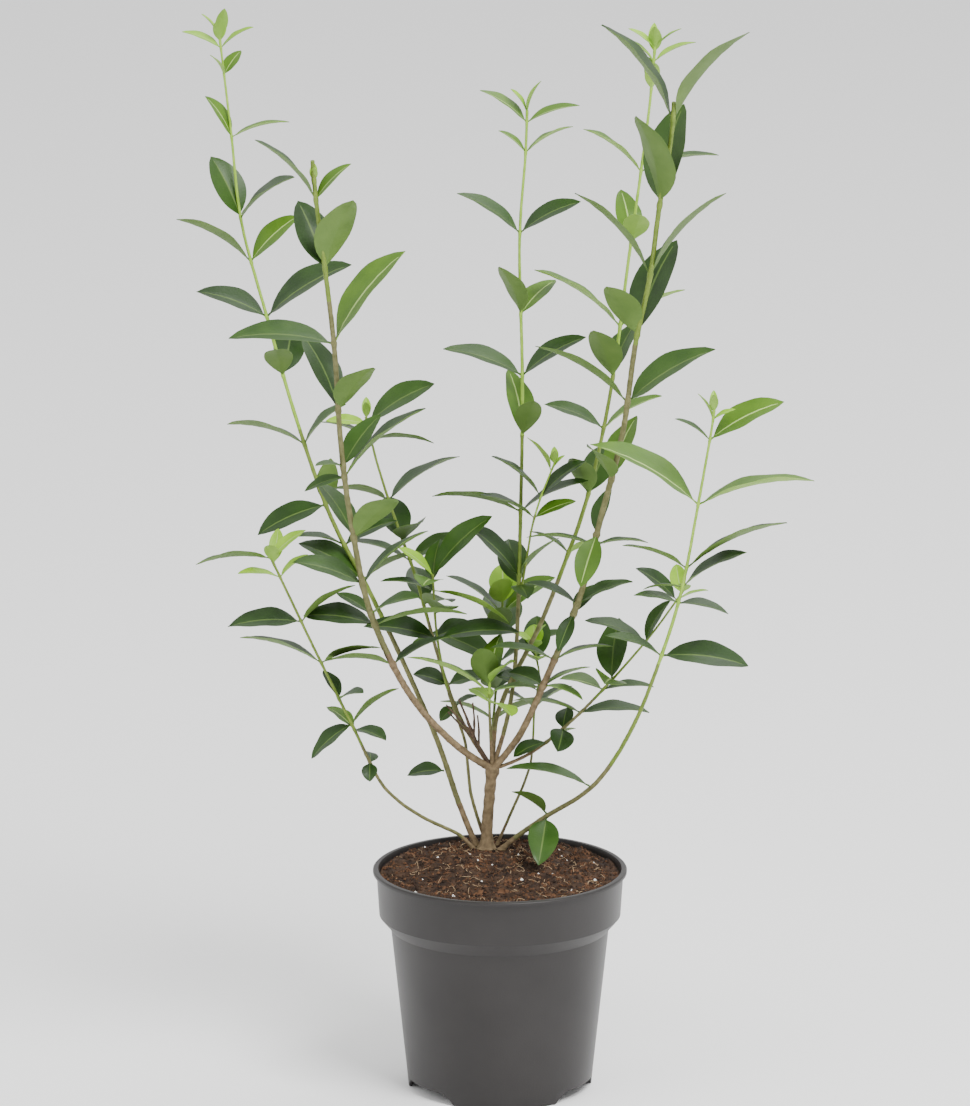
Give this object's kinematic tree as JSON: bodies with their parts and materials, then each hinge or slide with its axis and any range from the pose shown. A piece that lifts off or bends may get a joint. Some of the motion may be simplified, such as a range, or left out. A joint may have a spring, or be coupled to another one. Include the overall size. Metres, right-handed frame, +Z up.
{
  "type": "potted atrovirens privet shrub",
  "caption": "Young open privet shrub with slender upright shoots and paired leaves, in a round dark grey nursery pot with a collar.",
  "frame": {"origin": "centre of the pot's underside, on the ground", "axes": "+X to the right, +Y to the back, +Z up along the pot's axis"},
  "size_m": [0.4224, 0.2863, 0.7439],
  "materials": {
    "pot_plastic": "satin dark grey moulded plastic",
    "peat": "moist crumbly peat",
    "bark": "thin olive brown bark",
    "foliage": "slightly glossy evergreen leaves"
  },
  "bodies": {
    "root": {"pot": "pot_plastic", "soil": "peat", "trunk": "bark", "twigs_dead": "bark", "bough_left": "bark", "bough_right": "bark", "bough_right_rear": "bark", "bough_middle": "bark", "bough_left_rear": "bark", "bough_right_twig": "bark", "bough_heart": "bark", "bough_far_left": "bark", "bough_low_left": "bark", "bough_thin_left": "bark", "bough_far_right": "bark", "bough_thin_rear": "bark", "bough_back": "bark", "foliage_left": "foliage", "foliage_right": "foliage", "foliage_right_rear": "foliage", "foliage_middle": "foliage", "foliage_left_rear": "foliage", "foliage_right_twig": "foliage", "foliage_heart": "foliage", "foliage_far_left": "foliage", "foliage_low_left": "foliage", "foliage_thin_left": "foliage", "foliage_far_right": "foliage", "foliage_thin_rear": "foliage", "foliage_back": "foliage", "sprig_far_left_0": "foliage", "sprig_far_right_1": "foliage", "sprig_far_right_3": "foliage", "sprig_far_right_4": "foliage"}
  },
  "joints": []
}
